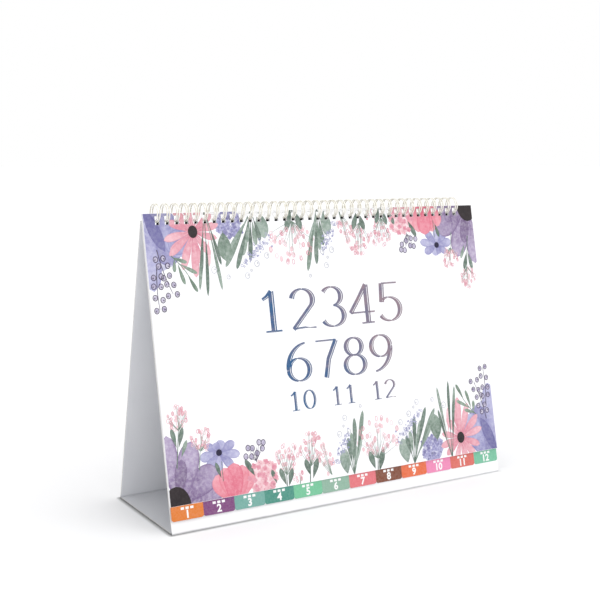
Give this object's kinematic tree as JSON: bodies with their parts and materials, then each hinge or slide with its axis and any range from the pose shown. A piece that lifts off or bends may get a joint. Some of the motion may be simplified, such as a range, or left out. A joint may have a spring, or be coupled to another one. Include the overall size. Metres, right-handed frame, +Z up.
{
  "type": "flip desk calendar",
  "caption": "Tent-shaped board stand with a printed cover leaf and tabbed month leaves that flip over its apex on a twin-loop wire binding.",
  "frame": {"origin": "centre of the stand's footprint, on the surface that it stands on", "axes": "+X along the width, to the right when facing the cover; -Y the front, where the cover is at rest; +Z up"},
  "size_m": [0.254, 0.08, 0.193],
  "materials": {
    "white_card": "satin",
    "board_core": "matte",
    "printed_cover": "satin",
    "printed_leaf": "satin",
    "wire": "gloss"
  },
  "bodies": {
    "stand": {"stand_wrap": "white_card", "stand_liner": "white_card", "front_board": "board_core", "base_board": "board_core", "rear_board": "board_core", "binding_wire": "wire"},
    "cover": {"cover_leaf": "printed_cover"},
    "month_jan": {"leaf_01_jan": "printed_leaf"},
    "month_feb": {"leaf_02_feb": "printed_leaf"},
    "month_mar": {"leaf_03_mar": "printed_leaf"},
    "month_apr": {"leaf_04_apr": "printed_leaf"},
    "month_may": {"leaf_05_may": "printed_leaf"},
    "month_jun": {"leaf_06_jun": "printed_leaf"},
    "month_jul": {"leaf_07_jul": "printed_leaf"},
    "month_aug": {"leaf_08_aug": "printed_leaf"},
    "month_sep": {"leaf_09_sep": "printed_leaf"},
    "month_oct": {"leaf_10_oct": "printed_leaf"},
    "month_nov": {"leaf_11_nov": "printed_leaf"},
    "month_dec": {"leaf_12_dec": "printed_leaf"}
  },
  "joints": [
    {"name": "flip_cover", "type": "hinge", "parent": "month_jan", "child": "cover", "pos_m": [0, 0.0004, 0.1882], "axis": [-1, 0, 0], "range_deg": [0, 315]},
    {"name": "flip_jan", "type": "hinge", "parent": "month_feb", "child": "month_jan", "pos_m": [0, 0.0004, 0.1882], "axis": [-1, 0, 0], "range_deg": [0, 315]},
    {"name": "flip_feb", "type": "hinge", "parent": "month_mar", "child": "month_feb", "pos_m": [0, 0.0004, 0.1882], "axis": [-1, 0, 0], "range_deg": [0, 315]},
    {"name": "flip_mar", "type": "hinge", "parent": "month_apr", "child": "month_mar", "pos_m": [0, 0.0004, 0.1882], "axis": [-1, 0, 0], "range_deg": [0, 315]},
    {"name": "flip_apr", "type": "hinge", "parent": "month_may", "child": "month_apr", "pos_m": [0, 0.0004, 0.1882], "axis": [-1, 0, 0], "range_deg": [0, 315]},
    {"name": "flip_may", "type": "hinge", "parent": "month_jun", "child": "month_may", "pos_m": [0, 0.0004, 0.1882], "axis": [-1, 0, 0], "range_deg": [0, 315]},
    {"name": "flip_jun", "type": "hinge", "parent": "month_jul", "child": "month_jun", "pos_m": [0, 0.0004, 0.1882], "axis": [-1, 0, 0], "range_deg": [0, 315]},
    {"name": "flip_jul", "type": "hinge", "parent": "month_aug", "child": "month_jul", "pos_m": [0, 0.0004, 0.1882], "axis": [-1, 0, 0], "range_deg": [0, 315]},
    {"name": "flip_aug", "type": "hinge", "parent": "month_sep", "child": "month_aug", "pos_m": [0, 0.0004, 0.1882], "axis": [-1, 0, 0], "range_deg": [0, 315]},
    {"name": "flip_sep", "type": "hinge", "parent": "month_oct", "child": "month_sep", "pos_m": [0, 0.0004, 0.1882], "axis": [-1, 0, 0], "range_deg": [0, 315]},
    {"name": "flip_oct", "type": "hinge", "parent": "month_nov", "child": "month_oct", "pos_m": [0, 0.0004, 0.1882], "axis": [-1, 0, 0], "range_deg": [0, 315]},
    {"name": "flip_nov", "type": "hinge", "parent": "month_dec", "child": "month_nov", "pos_m": [0, 0.0004, 0.1882], "axis": [-1, 0, 0], "range_deg": [0, 315]},
    {"name": "flip_dec", "type": "hinge", "parent": "stand", "child": "month_dec", "pos_m": [0, 0.0004, 0.1882], "axis": [-1, 0, 0], "range_deg": [0, 315]}
  ]
}
